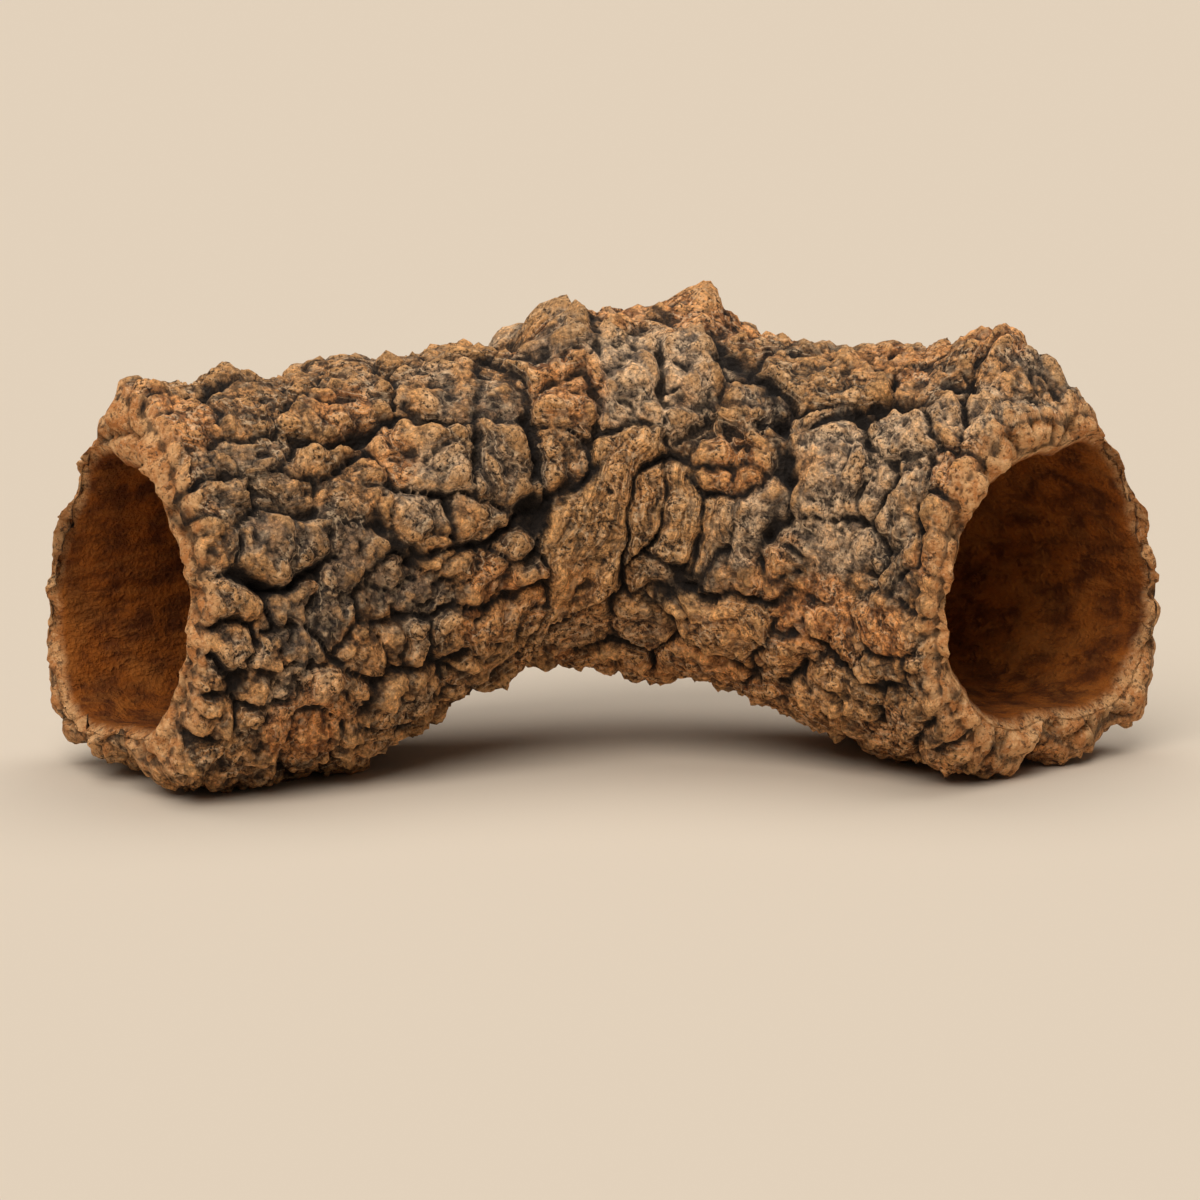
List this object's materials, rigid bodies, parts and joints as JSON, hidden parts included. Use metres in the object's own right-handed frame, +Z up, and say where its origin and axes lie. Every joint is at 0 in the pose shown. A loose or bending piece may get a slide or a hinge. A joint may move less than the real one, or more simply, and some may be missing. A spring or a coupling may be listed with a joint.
{
  "type": "cork bark tunnel",
  "caption": "Bent, hollow tube of thick ridged bark, open at both ends, lying on its side as a low arch.",
  "frame": {"origin": "middle of the bounding box at the height of the surface it lies on", "axes": "+X along the longest side, from the narrower mouth to the wider mouth, +Y to the outer side of the bend, +Z up"},
  "size_m": [0.3426, 0.1646, 0.1446],
  "materials": {
    "bark": "matte, rough"
  },
  "bodies": {
    "root": {"bark": "bark"}
  },
  "joints": []
}
